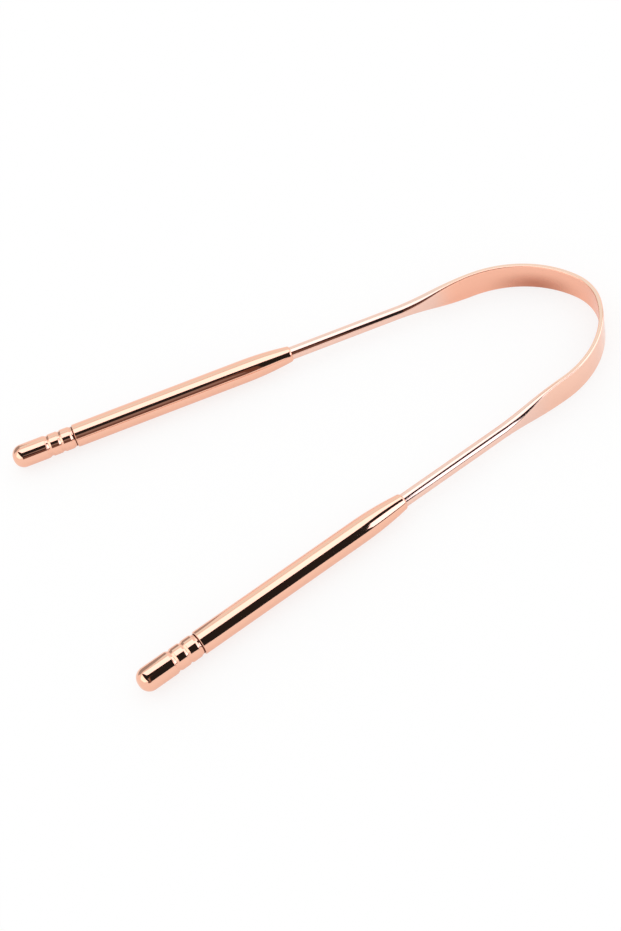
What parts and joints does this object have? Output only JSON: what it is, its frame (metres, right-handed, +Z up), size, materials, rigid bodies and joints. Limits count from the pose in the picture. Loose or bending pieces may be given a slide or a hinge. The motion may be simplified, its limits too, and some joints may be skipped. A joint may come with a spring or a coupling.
{
  "type": "tongue scraper",
  "caption": "U-shaped tongue scraper: a round metal rod flattened to a standing strip at its bend, with slim tube handles, drawn-in noses and grooved, domed end plugs.",
  "frame": {"origin": "under the middle of the whole object, on the plane that its lowest edge lies on", "axes": "+Z up, square to the plane of the U; +Y from the handles towards the crown of the bow; +X towards the right handle"},
  "size_m": [0.087, 0.1478, 0.0075],
  "materials": {
    "rod_metal": "polished, slightly satin on the strip",
    "tube_metal": "mirror polished",
    "plug_metal": "mirror polished"
  },
  "bodies": {
    "loop": {"scraper_loop": "rod_metal"},
    "left_arm": {"left_handle_tube": "tube_metal", "left_end_plug": "plug_metal"},
    "right_arm": {"right_handle_tube": "tube_metal", "right_end_plug": "plug_metal"}
  },
  "joints": [
    {"name": "left_flex", "type": "hinge", "parent": "loop", "child": "left_arm", "pos_m": [-0.017, 0.05876, 0.00375], "axis": [0, 0, -1], "range_deg": [-6, 4], "stiffness_Nm_per_rad": 3.1, "deforming": ["scraper_loop"]},
    {"name": "right_flex", "type": "hinge", "parent": "loop", "child": "right_arm", "pos_m": [0.017, 0.05876, 0.00375], "axis": [0, 0, 1], "range_deg": [-6, 4], "stiffness_Nm_per_rad": 3.1, "deforming": ["scraper_loop"]}
  ]
}
